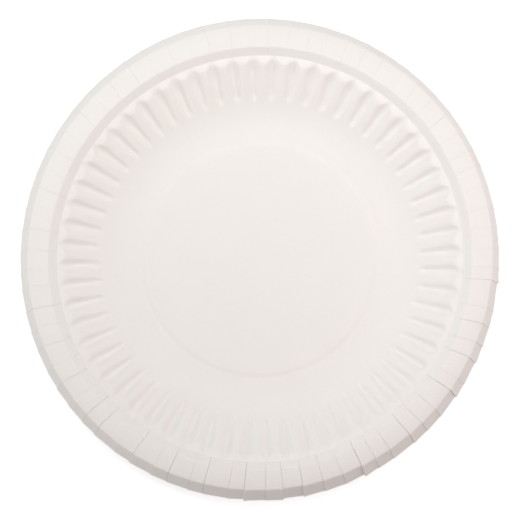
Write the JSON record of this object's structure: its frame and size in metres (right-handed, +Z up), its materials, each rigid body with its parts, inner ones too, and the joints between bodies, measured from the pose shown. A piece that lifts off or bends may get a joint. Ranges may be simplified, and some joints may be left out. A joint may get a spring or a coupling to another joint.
{
  "type": "paper plate",
  "caption": "Round white paper plate with a raised flat middle, a fluted wall, a narrow ledge and a pleated rim with a turned-down edge.",
  "frame": {"origin": "centre of the foot ring's underside, on the surface that the plate stands on", "axes": "+Z up along the plate's axis, out of its open side; +Y is the top of the reference view and +X its right"},
  "size_m": [0.2302, 0.2302, 0.017],
  "materials": {
    "paperboard": "matt white uncoated board with a faint warm tint"
  },
  "bodies": {
    "root": {"plate": "paperboard"}
  },
  "joints": []
}
